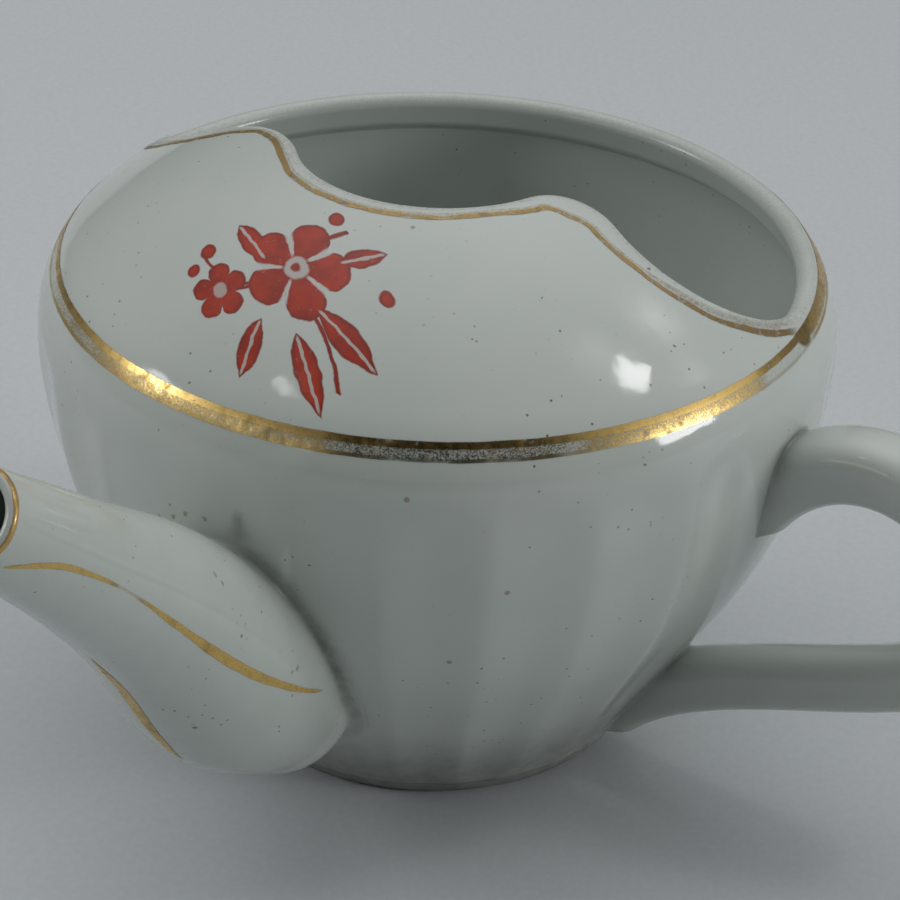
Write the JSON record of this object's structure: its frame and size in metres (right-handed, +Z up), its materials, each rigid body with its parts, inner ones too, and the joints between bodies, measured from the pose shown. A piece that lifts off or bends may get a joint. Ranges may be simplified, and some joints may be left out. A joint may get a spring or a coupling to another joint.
{
  "type": "invalid feeder",
  "caption": "Porcelain feeding cup for drinking in bed: fluted bowl, long side spout, loop handle at right angles and a domed half cover with a bow-shaped edge.",
  "frame": {"origin": "middle of the foot, on the plane that the cup stands on", "axes": "+Z up; the spout points along -X, the open half lies towards +X and the handle along -Y"},
  "size_m": [0.156, 0.1355, 0.0822],
  "materials": {
    "glazed_porcelain": "clear glossy glaze over white porcelain",
    "biscuit": "unglazed, slightly soiled",
    "gilding": "worn fired gilding"
  },
  "bodies": {
    "root": {"bowl": "glazed_porcelain", "foot_ring": "biscuit", "half_cover": "glazed_porcelain", "spout": "glazed_porcelain", "handle": "glazed_porcelain", "gilt_shoulder_band": "gilding", "gilt_cover_edge": "gilding", "gilt_spout_lip": "gilding", "gilt_spout_strokes": "gilding"}
  },
  "joints": []
}
